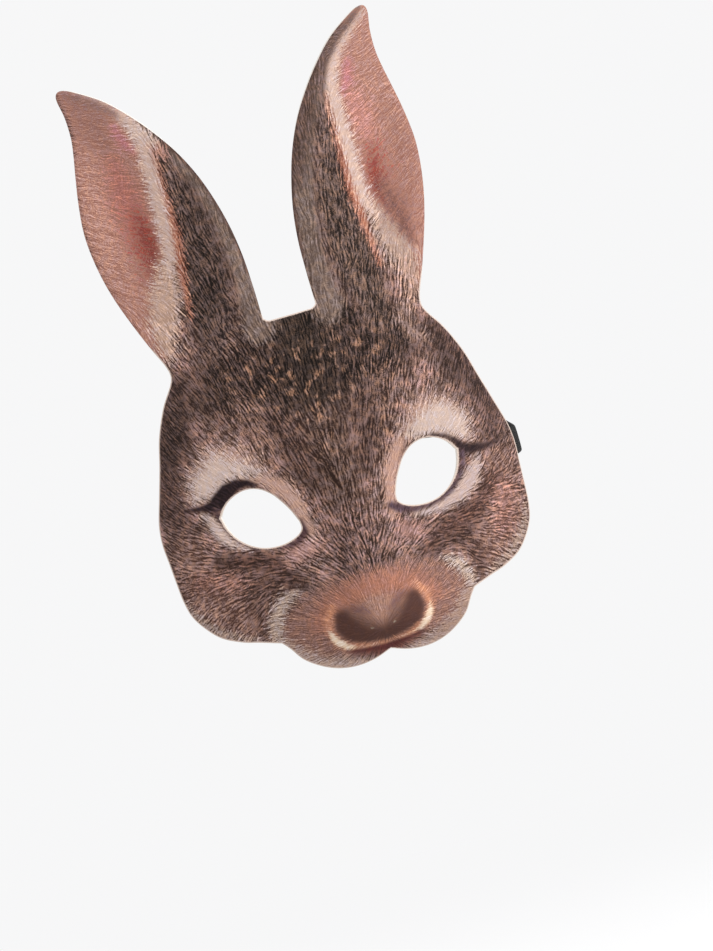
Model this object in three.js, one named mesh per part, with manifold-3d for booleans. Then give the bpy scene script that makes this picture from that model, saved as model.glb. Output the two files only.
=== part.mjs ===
// A hare half mask for carnival: one sheet of foam with printed cloth on its front, pressed to the shape of
// a hare's face with both ears, cut out with its two eye holes, and worn on a flat elastic band.
// The band's ends lie on the back of the sheet, each under a small glued tab of the same foam.
// Millimetres. X runs across the face, +Y from the front of the mask to the back of the head, +Z up.
// The origin is on the back of the sheet, between the eyes.
import * as THREE from "three";
import { mergeVertices } from "three/addons/utils/BufferGeometryUtils.js";
import Module from "manifold-3d";

const wasm = await Module();
wasm.setup();

// The sheet and how it wraps round the face
const SHEET = 2.0; // foam and cloth together
const CHEEK_HALF = 73.5; // half the width over the cheeks
const BROW_HEIGHT = 73.4; // eye line up to the notch between the ears
const CHIN_DROP = 65.8; // eye line down to the lips
const WRAP_HALF = 84; // half breadth of the oval that the face is wrapped round
const WRAP_DEPTH = 67; // its depth from front to side
const EAR_WRAP = 0.5; // share of the wrap that is left at the tips of the ears
const EAR_LEAN = 14; // how far the ears lean back

// The ears
const NOTCH_HALF = 10.8; // half the width of the notch between them
const NOTCH_ROUND = 2.6; // radius of its two corners
const EAR_BREADTH = 57.7; // from the notch's side out to the ear's widest point
const EAR_LENGTH = 110.2; // above the notch

// The eye holes
const EYE_APART = 34.2; // middle of the face to the middle of a hole
const EYE_HALF = 14.6; // half length of a hole
const EYE_HALF_HEIGHT = 12.2;

// The muzzle
const MUZZLE_HALF = 39.7; // half its width at the cut edge
const MUZZLE_CORNER = 49.4; // eye line down to where it meets the cheek's edge
const MUZZLE_RISE = 20; // how far it stands out of the face
const NOSE_DROP = 48; // eye line down to the nose

// The band and its tabs
const BAND_WIDTH = 10;
const BAND_THICKNESS = 1.2;
const BAND_HEIGHT = 0; // above the eye line, at the sheet's edge
const BAND_CLIMB = 20; // how much higher it passes the back of the head
const BAND_INSET = 16; // how far in from the sheet's edge it ends
const HEAD_HALF = 73.5; // half breadth of the loop round a child's head
const HEAD_OFFSET = 3.5; // how far the head, and the loop with it, sits to the right behind the mask
const HEAD_LENGTH = 190; // bridge of the nose to the back of the head
const SEAT_GAP = 0.3; // between pieces that lie on each other
const TAB_LENGTH = 15;
const TAB_MARGIN = 5; // the tab's glued edge, above and below the band
const TAB_THICKNESS = 1.5;
const TAB_INSET = 4.5; // from the sheet's edge to the tab

// Fineness of the faceted surfaces
const COLUMNS = 34;
const ROWS = 54;
const POINTS_PER_SPAN = 2;
const BAND_STEPS = 64;

// The ear's outline, from the notch up its inner side, over the tip and down its outer side.
// out: share of EAR_BREADTH from the notch's side. up: share of EAR_LENGTH from the notch.
const EAR_INNER_SIDE = [
  { out: 0.0, up: 0.13 },
  { out: 0.007, up: 0.245 },
  { out: 0.033, up: 0.355 },
  { out: 0.081, up: 0.463 },
  { out: 0.148, up: 0.567 },
  { out: 0.24, up: 0.666 },
  { out: 0.355, up: 0.757 },
  { out: 0.484, up: 0.842 },
  { out: 0.63, up: 0.92 },
  { out: 0.802, up: 0.982 },
  { out: 0.878, up: 1.0 },
];
const EAR_OUTER_SIDE = [
  { out: 0.917, up: 0.994 },
  { out: 0.926, up: 0.968 },
  { out: 0.906, up: 0.905 },
  { out: 0.903, up: 0.83 },
  { out: 0.92, up: 0.765 },
  { out: 0.948, up: 0.69 },
  { out: 0.98, up: 0.595 },
  { out: 1.0, up: 0.5 },
  { out: 0.996, up: 0.42 },
  { out: 0.972, up: 0.328 },
  { out: 0.928, up: 0.232 },
  { out: 0.861, up: 0.128 },
  { out: 0.785, up: 0.024 },
  { out: 0.728, up: -0.045 },
];

// The face's edge, from the foot of the ear down to the muzzle.
// out: share of CHEEK_HALF. up: share of BROW_HEIGHT above the eye line, of CHIN_DROP below it.
const FACE_SIDE = [
  { out: 0.704, up: 0.868 },
  { out: 0.722, up: 0.815 },
  { out: 0.79, up: 0.712 },
  { out: 0.857, up: 0.563 },
  { out: 0.901, up: 0.406 },
  { out: 0.948, up: 0.25 },
  { out: 0.988, up: 0.113 },
  { out: 1.0, up: 0.005 },
  { out: 0.993, up: -0.12 },
  { out: 0.985, up: -0.26 },
  { out: 0.977, up: -0.36 },
  { out: 0.955, up: -0.46 },
  { out: 0.905, up: -0.55 },
  { out: 0.835, up: -0.63 },
  { out: 0.735, up: -0.685 },
  { out: 0.645, up: -0.714 },
];

// The muzzle's edge, from its corner round the lip to the cleft in the middle.
// out: share of MUZZLE_HALF. down: share of the way from MUZZLE_CORNER to CHIN_DROP.
const LIP = [
  { out: 0.935, down: 0.19 },
  { out: 0.85, down: 0.49 },
  { out: 0.73, down: 0.725 },
  { out: 0.59, down: 0.9 },
  { out: 0.445, down: 0.99 },
  { out: 0.295, down: 1.0 },
  { out: 0.146, down: 0.935 },
  { out: 0.0, down: 0.81 },
];

// An eye hole's rim about its middle. out: share of EYE_HALF, away from the nose. up: share of EYE_HALF_HEIGHT.
const EYE_LID = [
  { out: 0.99, up: 0.35 },
  { out: 0.79, up: 0.67 },
  { out: 0.5, up: 0.89 },
  { out: 0.16, up: 0.985 },
  { out: -0.19, up: 0.89 },
  { out: -0.48, up: 0.63 },
  { out: -0.69, up: 0.29 },
  { out: -0.86, up: -0.07 },
  { out: -0.985, up: -0.45 },
];
const EYE_BAG = [
  { out: -0.985, up: -0.68 },
  { out: -0.83, up: -0.86 },
  { out: -0.51, up: -0.985 },
  { out: -0.16, up: -1.0 },
  { out: 0.17, up: -0.91 },
  { out: 0.48, up: -0.7 },
  { out: 0.73, up: -0.41 },
  { out: 0.9, up: -0.05 },
];

// Soft forms pressed into the sheet on each side of the face.
// out, up: middle, as shares of CHEEK_HALF. long, wide: half sizes along and across the form, as shares of it too.
// tilt: degrees from level. rise: towards the viewer, as a share of MUZZLE_RISE.
const FORMS = [
  { name: "eye socket", out: 0.47, up: 0.0, long: 0.27, wide: 0.2, tilt: 15, rise: -0.19 },
  { name: "brow", out: 0.47, up: 0.33, long: 0.32, wide: 0.15, tilt: 8, rise: 0.17 },
  { name: "cheek", out: 0.62, up: -0.36, long: 0.3, wide: 0.22, tilt: -10, rise: 0.14 },
  { name: "upper lip", out: 0.25, up: -0.76, long: 0.2, wide: 0.13, tilt: 0, rise: 0.12 },
  { name: "nose", out: 0.0, up: -0.64, long: 0.25, wide: 0.17, tilt: 0, rise: 0.16 },
  { name: "ear hollow", out: 0.69, up: 1.72, long: 0.62, wide: 0.19, tilt: 84, rise: -0.3 },
  { name: "ear back", out: 0.26, up: 1.55, long: 0.6, wide: 0.13, tilt: 80, rise: 0.12 },
];
const BRIDGE_HALF = 13; // half width of the ridge that runs from the brow down to the nose
const BRIDGE_RISE = 6;
const MUZZLE_UP = 38; // how far the muzzle's dome runs up from its middle, and down
const MUZZLE_DOWN = 25;
const CLEFT_DEPTH = 1.6; // the groove under the nose
const CLEFT_HALF = 3.5;

// 0 at from, 1 at to, an S-shaped curve between, and level beyond them
function ease(from, to, value) {
  const share = THREE.MathUtils.clamp((value - from) / (to - from), 0, 1);
  return share * share * (3 - 2 * share);
}

// How far a soft form lifts the sheet at x, z
function formRise(form, x, z) {
  const tilt = THREE.MathUtils.degToRad(form.tilt);
  const dx = Math.abs(x) - form.out * CHEEK_HALF;
  const dz = z - form.up * CHEEK_HALF;
  const along = (dx * Math.cos(tilt) + dz * Math.sin(tilt)) / (form.long * CHEEK_HALF);
  const across = (dz * Math.cos(tilt) - dx * Math.sin(tilt)) / (form.wide * CHEEK_HALF);
  return form.rise * MUZZLE_RISE * Math.exp(-along * along - across * across);
}

// Depth of the sheet's front face behind the brow, for a point of the front view
function depth(x, z) {
  const wrapLeft = 1 - (1 - EAR_WRAP) * ease(BROW_HEIGHT * 0.48, BROW_HEIGHT + EAR_LENGTH * 0.7, z);
  const round = Math.sqrt(Math.max(0.02, 1 - (x / WRAP_HALF) ** 2));
  const wrap = WRAP_DEPTH * (1 - round) * wrapLeft;
  const lean = EAR_LEAN * ease(BROW_HEIGHT * 0.2, BROW_HEIGHT * 1.5, z);
  const reach = z > -NOSE_DROP ? MUZZLE_UP : MUZZLE_DOWN;
  const dome = 1 - (x / (MUZZLE_HALF * 1.04)) ** 2 - ((z + NOSE_DROP) / reach) ** 2;
  const muzzle = MUZZLE_RISE * Math.max(0, dome) ** 1.25;
  const ridge = BRIDGE_RISE * Math.exp(-((x / BRIDGE_HALF) ** 2));
  const bridge = ridge * ease(BROW_HEIGHT * 0.6, 0, z) * ease(-CHIN_DROP, -CHIN_DROP * 0.3, z);
  const cleft = CLEFT_DEPTH * Math.exp(-((x / CLEFT_HALF) ** 2)) * ease(-NOSE_DROP * 1.1, -CHIN_DROP, z);
  const forms = FORMS.reduce((sum, form) => sum + formRise(form, x, z), 0);
  return wrap + lean - muzzle - bridge + cleft - forms;
}

// The point that lies `inward` behind the sheet's front face, square to it, at x, z of the front view
const ORIGIN_DEPTH = depth(0, 0) + SHEET;
const SLOPE_STEP = 0.5;
function onSheet(x, z, inward) {
  const slopeX = (depth(x + SLOPE_STEP, z) - depth(x - SLOPE_STEP, z)) / (2 * SLOPE_STEP);
  const slopeZ = (depth(x, z + SLOPE_STEP) - depth(x, z - SLOPE_STEP)) / (2 * SLOPE_STEP);
  const normal = new THREE.Vector3(-slopeX, 1, -slopeZ).normalize();
  return new THREE.Vector3(x, depth(x, z) - ORIGIN_DEPTH, z).addScaledVector(normal, inward);
}

// A closed geometry as a manifold-3d solid, and back
function solidOf(geometry) {
  const bare = geometry.clone().deleteAttribute("normal").deleteAttribute("uv");
  const merged = mergeVertices(bare, 1e-4);
  const mesh = new wasm.Mesh({
    numProp: 3,
    vertProperties: new Float32Array(merged.attributes.position.array),
    triVerts: new Uint32Array(merged.index.array),
  });
  return new wasm.Manifold(mesh);
}
function geometryOf(solid) {
  const mesh = solid.getMesh();
  const points = new THREE.BufferAttribute(new Float32Array(mesh.vertProperties), 3);
  const faces = new THREE.BufferAttribute(new Uint32Array(mesh.triVerts), 1);
  return new THREE.BufferGeometry().setAttribute("position", points).setIndex(faces);
}

// Moves each vertex of a geometry to the place that a function gives for it
function reshape(geometry, place) {
  const points = geometry.attributes.position;
  const point = new THREE.Vector3();
  for (let i = 0; i < points.count; i++) {
    point.fromBufferAttribute(points, i);
    points.setXYZ(i, ...place(point).toArray());
  }
  geometry.computeVertexNormals();
  return geometry;
}

// Points of the right half of the outline, each list of one smooth stretch, from the notch to the cleft
function halfOutline() {
  const onEar = ({ out, up }) =>
    new THREE.Vector2(NOTCH_HALF + out * EAR_BREADTH, BROW_HEIGHT + up * EAR_LENGTH);
  const onFace = ({ out, up }) =>
    new THREE.Vector2(out * CHEEK_HALF, up * (up > 0 ? BROW_HEIGHT : CHIN_DROP));
  const onLip = ({ out, down }) =>
    new THREE.Vector2(out * MUZZLE_HALF, -MUZZLE_CORNER - down * (CHIN_DROP - MUZZLE_CORNER));
  const rounding = [90, 60, 30, 0].map((degrees) => {
    const turn = THREE.MathUtils.degToRad(degrees);
    return new THREE.Vector2(
      NOTCH_HALF - NOTCH_ROUND * (1 - Math.cos(turn)),
      BROW_HEIGHT + NOTCH_ROUND * (1 - Math.sin(turn)),
    );
  });
  const corner = new THREE.Vector2(MUZZLE_HALF, -MUZZLE_CORNER);
  return [
    [...rounding, ...EAR_INNER_SIDE.map(onEar), ...EAR_OUTER_SIDE.map(onEar), ...FACE_SIDE.map(onFace), corner],
    LIP.map(onLip),
  ];
}

// The whole outline: down the left side as a mirror, then up the right side
function outline() {
  const [side, lip] = halfOutline();
  const corner = side.at(-1);
  const mirrored = (point) => new THREE.Vector2(-point.x, point.y);
  const shape = new THREE.Shape().moveTo(0, BROW_HEIGHT);
  shape.lineTo(-side[0].x, side[0].y);
  shape.splineThru(side.slice(1).map(mirrored));
  shape.splineThru(lip.map(mirrored));
  shape.splineThru([...lip.slice(0, -1).reverse(), corner]);
  shape.splineThru(side.slice(0, -1).reverse());
  return shape;
}

// An eye hole on the right (side 1) or left (side -1)
function eyeHole(side) {
  const onRim = ({ out, up }) =>
    new THREE.Vector2(side * (EYE_APART + out * EYE_HALF), up * EYE_HALF_HEIGHT);
  const lid = EYE_LID.map(onRim);
  const hole = new THREE.Path().moveTo(lid[0].x, lid[0].y);
  hole.splineThru(lid.slice(1));
  hole.splineThru([...EYE_BAG.map(onRim), lid[0]]);
  return hole;
}

// The flat sheet's grid of facets, already pressed to depth: narrow columns where the sheet turns away
function pressedSheet() {
  const margin = 3;
  const bottom = -CHIN_DROP - margin;
  const height = BROW_HEIGHT + EAR_LENGTH + margin - bottom;
  const widest = Math.max(CHEEK_HALF, NOTCH_HALF + EAR_BREADTH) + margin;
  const turn = Math.asin(Math.min(0.97, widest / WRAP_HALF));
  const grid = new THREE.BoxGeometry(2, 1, 1, COLUMNS, 1, ROWS);
  return reshape(grid, (point) => {
    const x = (widest * Math.sin(point.x * turn)) / Math.sin(turn);
    const z = bottom + (point.z + 0.5) * height;
    const behind = point.y > 0 ? SHEET : 0;
    return new THREE.Vector3(x, depth(x, z) + behind, z);
  });
}

// The mask: the pressed sheet is cut out square to the front view, then given its even thickness
function maskShell() {
  const shape = outline();
  shape.holes.push(eyeHole(1), eyeHole(-1));
  const reach = 200;
  const die = new THREE.ExtrudeGeometry(shape, {
    depth: 2 * reach,
    bevelEnabled: false,
    curveSegments: POINTS_PER_SPAN,
  });
  die.translate(0, 0, -reach).rotateX(Math.PI / 2);
  const cut = solidOf(pressedSheet()).intersect(solidOf(die));
  return reshape(geometryOf(cut), ({ x, y, z }) => {
    const isBack = y - depth(x, z) > SHEET / 2;
    return onSheet(x, z, isBack ? SHEET : 0);
  });
}

// The band's middle line: on the back of the sheet, out past its edge, round the head and back
function bandPath() {
  const seat = SHEET + SEAT_GAP + BAND_THICKNESS / 2;
  const half = [1, 0.75, 0.5, 0.25, 0.06].map((share) => onSheet(CHEEK_HALF - share * BAND_INSET, BAND_HEIGHT, seat));
  const leaving = half.at(-1).y;
  const middle = HEAD_LENGTH / 2;
  const climb = (y) => BAND_HEIGHT + BAND_CLIMB * ((y - leaving) / (HEAD_LENGTH - leaving)) ** 1.5;
  for (const degrees of [-22, -5, 15, 30, 45, 60, 75]) {
    const turn = THREE.MathUtils.degToRad(degrees);
    const y = middle * (1 + Math.sin(turn));
    const x = HEAD_HALF * (degrees < 0 ? 1 - 0.06 * Math.sin(turn) ** 2 : Math.cos(turn));
    half.push(new THREE.Vector3(x, y, climb(y)));
  }
  const back = new THREE.Vector3(0, HEAD_LENGTH, climb(HEAD_LENGTH));
  const other = half.map((point) => new THREE.Vector3(-point.x, point.y, point.z)).reverse();
  const loop = [...half, back, ...other];
  for (const point of loop) point.x += HEAD_OFFSET * ease(leaving, middle * 0.65, point.y);
  return new THREE.CatmullRomCurve3(loop, false, "centripetal");
}

// The elastic band: a flat strip bent along its path, upright as it lies on the head
function elasticBand() {
  const path = bandPath();
  const strip = new THREE.BoxGeometry(1, BAND_THICKNESS, BAND_WIDTH, BAND_STEPS, 1, 1);
  return reshape(strip, (point) => {
    const along = THREE.MathUtils.clamp(point.x + 0.5, 0, 1);
    const tangent = path.getTangentAt(along);
    const outward = new THREE.Vector3(-tangent.y, tangent.x, 0).normalize();
    return path.getPointAt(along).addScaledVector(outward, point.y).add(new THREE.Vector3(0, 0, point.z));
  });
}

// A tab of foam glued over an end of the band: its middle rides over the band, its edges come down to the sheet
function bandTab(side) {
  const lift = BAND_THICKNESS + SEAT_GAP;
  const shoulder = BAND_WIDTH / 2 + 0.6;
  const patch = new THREE.BoxGeometry(TAB_LENGTH, TAB_THICKNESS, BAND_WIDTH + 2 * TAB_MARGIN, 4, 1, 16);
  const middle = CHEEK_HALF - TAB_INSET - TAB_LENGTH / 2;
  return reshape(patch, (point) => {
    const over = 1 - ease(shoulder, shoulder + 2, Math.abs(point.z));
    const inward = SHEET + SEAT_GAP + over * lift + TAB_THICKNESS / 2 + point.y;
    return onSheet(side * (middle + point.x), BAND_HEIGHT + side * point.z, inward);
  });
}

// Finishes
const PRINTED_FUR = new THREE.MeshStandardMaterial({ color: 0x7d655e, roughness: 0.85, metalness: 0 });
const ELASTIC = new THREE.MeshStandardMaterial({ color: 0x141313, roughness: 0.8, metalness: 0 });
const FOAM = new THREE.MeshStandardMaterial({ color: 0xe4e0da, roughness: 0.9, metalness: 0 });

function piece(name, geometry, material) {
  const mesh = new THREE.Mesh(geometry, material);
  mesh.name = name;
  return mesh;
}

const mask = new THREE.Group();
mask.add(
  piece("mask_shell", maskShell(), PRINTED_FUR),
  piece("elastic_band", elasticBand(), ELASTIC),
  piece("band_tab_right", bandTab(1), FOAM),
  piece("band_tab_left", bandTab(-1), FOAM),
);

export default mask;
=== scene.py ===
"""A hare half mask in a small size: a sheet of foam with fur printed on its cloth face, pressed to the shape
of a hare's face, cut out with both ears, and worn on a flat elastic band.

X runs across the face, +Y from the front of the mask to the back of the band, +Z up. The sizes of the pieces
are in millimetres, and their meshes are turned into metres as they are made.
"""

import bpy
import numpy as np
from mathutils import Matrix
from mathutils.geometry import delaunay_2d_cdt


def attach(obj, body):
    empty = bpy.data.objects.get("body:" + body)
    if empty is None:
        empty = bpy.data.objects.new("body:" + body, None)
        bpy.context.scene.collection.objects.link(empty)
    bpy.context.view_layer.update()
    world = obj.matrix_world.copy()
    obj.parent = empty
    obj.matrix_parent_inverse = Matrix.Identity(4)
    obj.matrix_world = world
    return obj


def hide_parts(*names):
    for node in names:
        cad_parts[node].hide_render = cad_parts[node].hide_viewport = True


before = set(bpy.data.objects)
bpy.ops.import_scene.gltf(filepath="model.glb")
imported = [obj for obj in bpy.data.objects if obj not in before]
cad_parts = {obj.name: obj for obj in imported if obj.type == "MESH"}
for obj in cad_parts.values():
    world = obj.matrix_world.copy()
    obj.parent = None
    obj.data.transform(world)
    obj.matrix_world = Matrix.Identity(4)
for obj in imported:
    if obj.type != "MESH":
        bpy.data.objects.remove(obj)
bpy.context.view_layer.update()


# The camera. It faces the mask from a little to one side and leans over, so that the mask stands as far askew
# as in the photograph. Its long lens stands 1.8 m away, and lengths here are in metres.
LENS, DISTANCE = 174.7, 1.8
turned, raised, leaning = np.radians((-3.27, 0.522, -16.3))
aim = np.array((0.00665, 0.00386, 0.00554))
away = np.array((np.sin(turned) * np.cos(raised), -np.cos(turned) * np.cos(raised), np.sin(raised)))
level = np.array((np.cos(turned), np.sin(turned), 0.0))
upright = np.cross(away, level)
across = np.cos(leaning) * level + np.sin(leaning) * upright
upwards = np.cos(leaning) * upright - np.sin(leaning) * level
camera = bpy.data.objects.new("camera", bpy.data.cameras.new("camera"))
camera.data.lens = LENS
stand = np.column_stack((across, upwards, away, aim + DISTANCE * away))
camera.matrix_world = Matrix(np.vstack((stand, (0, 0, 0, 1))))
bpy.context.collection.objects.link(camera)
bpy.context.scene.camera = camera


# The floor and the light of the studio. A plain pale floor lies well below the mask and fades into the white
# of the room. A broad soft lamp stands on the right of the camera, and a weaker one above it.
FLOOR_DROP, FLOOR_RADIUS, FADE_START, FADE_END = 0.26, 6, 0.35, 1.3
ROOM_WHITE = (0.93, 0.93, 0.935, 1)
# Each lamp's place and breadth in metres, and its power in watts
LAMPS = {"lamp_right": ((1.4, -1.3, 0.8), 1.1, 32), "lamp_above": ((-0.2, -1.0, 1.6), 1.2, 4)}


def put(tree, kind, inputs, **settings):
    """One node, with its settings made, and each input set to a number or wired to another node."""
    made = tree.nodes.new(kind)
    for key, value in settings.items():
        setattr(made, key, value)
    for key, value in inputs.items():
        if isinstance(value, bpy.types.NodeSocket):
            tree.links.new(value, made.inputs[key])
        else:
            made.inputs[key].default_value = value
    return made


def reckon(tree, operation, *terms):
    """The result of a sum, product or other calculation on one to three terms."""
    return put(tree, "ShaderNodeMath", dict(enumerate(terms)), operation=operation).outputs[0]


def ramp(tree, value, low, high):
    """0 where a value is under low, 1 over high, and a smooth curve between."""
    ends = {"Value": value, "From Min": low, "From Max": high}
    return put(tree, "ShaderNodeMapRange", ends, interpolation_type="SMOOTHSTEP").outputs[0]


def finish(name):
    """A new material, with its node tree and its shader."""
    made = bpy.data.materials.new(name)
    made.use_nodes = True
    return made, made.node_tree, made.node_tree.nodes["Principled BSDF"]


room = bpy.data.worlds.new("room")
room.use_nodes = True
room.node_tree.nodes["Background"].inputs["Color"].default_value = ROOM_WHITE
room.node_tree.nodes["Background"].inputs["Strength"].default_value = 1.0
bpy.context.scene.world = room
bpy.context.scene.view_settings.view_transform = "Standard"

# The floor's mesh is rings of quads, with one face that closes the middle
around, outwards = np.linspace(0, 2 * np.pi, 97)[:-1], np.linspace(0.05, FLOOR_RADIUS, 40)
angle, radius = np.meshgrid(around, outwards, indexing="ij")
disc = np.stack((radius * np.cos(angle), radius * np.sin(angle), np.full_like(radius, -FLOOR_DROP)), -1)
index = np.arange(disc[..., 0].size).reshape(radius.shape)
after = np.roll(index, -1, 0)
quads = np.stack((index[:, :-1], index[:, 1:], after[:, 1:], after[:, :-1]), -1).reshape(-1, 4)
floor_mesh = bpy.data.meshes.new("floor")
floor_mesh.from_pydata(disc.reshape(-1, 3), [], quads.tolist() + [index[::-1, 0].tolist()])
floor_mesh.update()
floor = bpy.data.objects.new("floor", floor_mesh)
bpy.context.collection.objects.link(floor)
pale_floor, tree, shader = finish("pale_floor")
shader.inputs["Base Color"].default_value = (0.85, 0.85, 0.85, 1)
shader.inputs["Roughness"].default_value = 0.9
place = put(tree, "ShaderNodeTexCoord", {}).outputs["Object"]
distance = put(tree, "ShaderNodeVectorMath", {0: place}, operation="LENGTH").outputs["Value"]
glow = put(tree, "ShaderNodeEmission", {"Color": ROOM_WHITE, "Strength": 1.0})
far_off = ramp(tree, distance, FADE_START, FADE_END)
fade = put(tree, "ShaderNodeMixShader", {0: far_off, 1: shader.outputs[0], 2: glow.outputs[0]})
tree.links.new(fade.outputs[0], tree.nodes["Material Output"].inputs["Surface"])
floor_mesh.materials.append(pale_floor)

for name, (place_of_lamp, size, power) in LAMPS.items():
    lamp = bpy.data.objects.new(name, bpy.data.lights.new(name, "AREA"))
    lamp.data.size, lamp.data.energy = size, power
    lamp.location = place_of_lamp
    lamp.rotation_euler = lamp.location.to_track_quat("Z", "Y").to_euler()
    bpy.context.collection.objects.link(lamp)


# The mask. One sheet of thin foam with knitted cloth on its front, pressed hot over a mould and cut out with
# a die. Its cut edge and its back show the pale foam. The cloth is printed with a hare's fur beforehand.
SHEET = 2.0
CHEEK_HALF, BROW_HEIGHT, CHIN_DROP = 73.5, 73.4, 65.8
WRAP_HALF, WRAP_DEPTH, EAR_WRAP, EAR_LEAN = 84, 67, 0.5, 14
NOTCH_HALF, NOTCH_ROUND, EAR_BREADTH, EAR_LENGTH = 10.8, 2.6, 57.7, 110.2
EYE_APART, EYE_HALF, EYE_HALF_HEIGHT = 34.2, 14.6, 12.2
MUZZLE_HALF, MUZZLE_CORNER, MUZZLE_RISE, NOSE_DROP = 39.7, 49.4, 20, 48
MUZZLE_UP, MUZZLE_DOWN, BRIDGE_HALF, BRIDGE_RISE, CLEFT_DEPTH, CLEFT_HALF = 38, 25, 13, 6, 1.6, 3.5

# The ear's edge up its inner side and down its outer one: shares of EAR_BREADTH out from the notch's side,
# and of EAR_LENGTH up from the notch.
EAR_EDGE = (
    (0.0, 0.13), (0.007, 0.245), (0.033, 0.355), (0.081, 0.463), (0.148, 0.567), (0.24, 0.666),
    (0.355, 0.757), (0.484, 0.842), (0.63, 0.92), (0.802, 0.982), (0.878, 1.0), (0.917, 0.994),
    (0.926, 0.968), (0.906, 0.905), (0.903, 0.83), (0.92, 0.765), (0.948, 0.69), (0.98, 0.595),
    (1.0, 0.5), (0.996, 0.42), (0.972, 0.328), (0.928, 0.232), (0.861, 0.128), (0.785, 0.024),
    (0.728, -0.045),
)
# The face's edge from the foot of the ear to the muzzle: shares of CHEEK_HALF out, and of BROW_HEIGHT up
# from the eye line, or of CHIN_DROP down.
FACE_EDGE = (
    (0.704, 0.868), (0.722, 0.815), (0.79, 0.712), (0.857, 0.563), (0.901, 0.406), (0.948, 0.25),
    (0.988, 0.113), (1.0, 0.005), (0.993, -0.12), (0.985, -0.26), (0.977, -0.36), (0.955, -0.46),
    (0.905, -0.55), (0.835, -0.63), (0.735, -0.685), (0.645, -0.714),
)
# The muzzle's edge round the lip: shares of MUZZLE_HALF out, and of the way from MUZZLE_CORNER to CHIN_DROP.
LIP_EDGE = (
    (0.935, 0.19), (0.85, 0.49), (0.73, 0.725), (0.59, 0.9), (0.445, 0.99), (0.295, 1.0), (0.146, 0.935),
    (0.0, 0.81),
)
# An eye hole's rim about its middle: shares of EYE_HALF away from the nose, and of EYE_HALF_HEIGHT up.
EYE_LID = (
    (0.99, 0.35), (0.79, 0.67), (0.5, 0.89), (0.16, 0.985), (-0.19, 0.89), (-0.48, 0.63), (-0.69, 0.29),
    (-0.86, -0.07), (-0.985, -0.45),
)
EYE_BAG = (
    (-0.985, -0.68), (-0.83, -0.86), (-0.51, -0.985), (-0.16, -1.0), (0.17, -0.91), (0.48, -0.7),
    (0.73, -0.41), (0.9, -0.05),
)
# Soft forms pressed into each side: place out and up, half sizes along and across, tilt in degrees, and rise
# towards the viewer. Lengths are shares of CHEEK_HALF, and rises of MUZZLE_RISE.
PRESSED_FORMS = {
    "eye socket": (0.47, 0.0, 0.27, 0.2, 15, -0.19),
    "brow": (0.47, 0.33, 0.32, 0.15, 8, 0.17),
    "cheek": (0.62, -0.36, 0.3, 0.22, -10, 0.14),
    "upper lip": (0.25, -0.76, 0.2, 0.13, 0, 0.12),
    "nose": (0.0, -0.64, 0.25, 0.17, 0, 0.16),
    "ear hollow": (0.69, 1.72, 0.62, 0.19, 84, -0.3),
    "ear back": (0.26, 1.55, 0.6, 0.13, 80, 0.12),
}


def ease(start, end, value):
    """0 at start, 1 at end, an S-shaped curve between, and level beyond them."""
    share = np.clip((value - start) / (end - start), 0, 1)
    return share * share * (3 - 2 * share)


def depth(x, z):
    """How far the front lies behind the brow at x across and z up: the wrap of an oval to either side, which
    flattens and leans back at the ears, less a domed muzzle, a ridge down the nose and the soft forms."""
    kept = 1 - (1 - EAR_WRAP) * ease(BROW_HEIGHT * 0.48, BROW_HEIGHT + EAR_LENGTH * 0.7, z)
    wrap = WRAP_DEPTH * (1 - np.sqrt(np.maximum(0.02, 1 - (x / WRAP_HALF) ** 2))) * kept
    lean = EAR_LEAN * ease(BROW_HEIGHT * 0.2, BROW_HEIGHT * 1.5, z)
    reach = np.where(z > -NOSE_DROP, MUZZLE_UP, MUZZLE_DOWN)
    dome = 1 - (x / (MUZZLE_HALF * 1.04)) ** 2 - ((z + NOSE_DROP) / reach) ** 2
    muzzle = MUZZLE_RISE * np.maximum(0, dome) ** 1.25
    ridge = BRIDGE_RISE * np.exp(-((x / BRIDGE_HALF) ** 2))
    bridge = ridge * ease(BROW_HEIGHT * 0.6, 0, z) * ease(-CHIN_DROP, -CHIN_DROP * 0.3, z)
    cleft = CLEFT_DEPTH * np.exp(-((x / CLEFT_HALF) ** 2)) * ease(-NOSE_DROP * 1.1, -CHIN_DROP, z)
    total = wrap + lean - muzzle - bridge + cleft
    for out, up, long, wide, tilt, rise in PRESSED_FORMS.values():
        dx, dz, tilt = np.abs(x) - out * CHEEK_HALF, z - up * CHEEK_HALF, np.radians(tilt)
        along = (dx * np.cos(tilt) + dz * np.sin(tilt)) / (long * CHEEK_HALF)
        beside = (dz * np.cos(tilt) - dx * np.sin(tilt)) / (wide * CHEEK_HALF)
        total = total - rise * MUZZLE_RISE * np.exp(-along**2 - beside**2)
    return total


def on_sheet(x, z, inward):
    """The points that lie inward of the mask's front, square to it, at x and z of the front view."""
    slope_x = depth(x + 0.5, z) - depth(x - 0.5, z)
    slope_z = depth(x, z + 0.5) - depth(x, z - 0.5)
    square = np.stack((-slope_x, np.ones_like(slope_x), -slope_z), -1)
    square /= np.linalg.norm(square, axis=-1, keepdims=True)
    front = depth(x, z) - depth(np.zeros(1), np.zeros(1)) - SHEET
    return np.stack((x, front, z), -1) + square * np.broadcast_to(inward, x.shape)[..., None]


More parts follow.
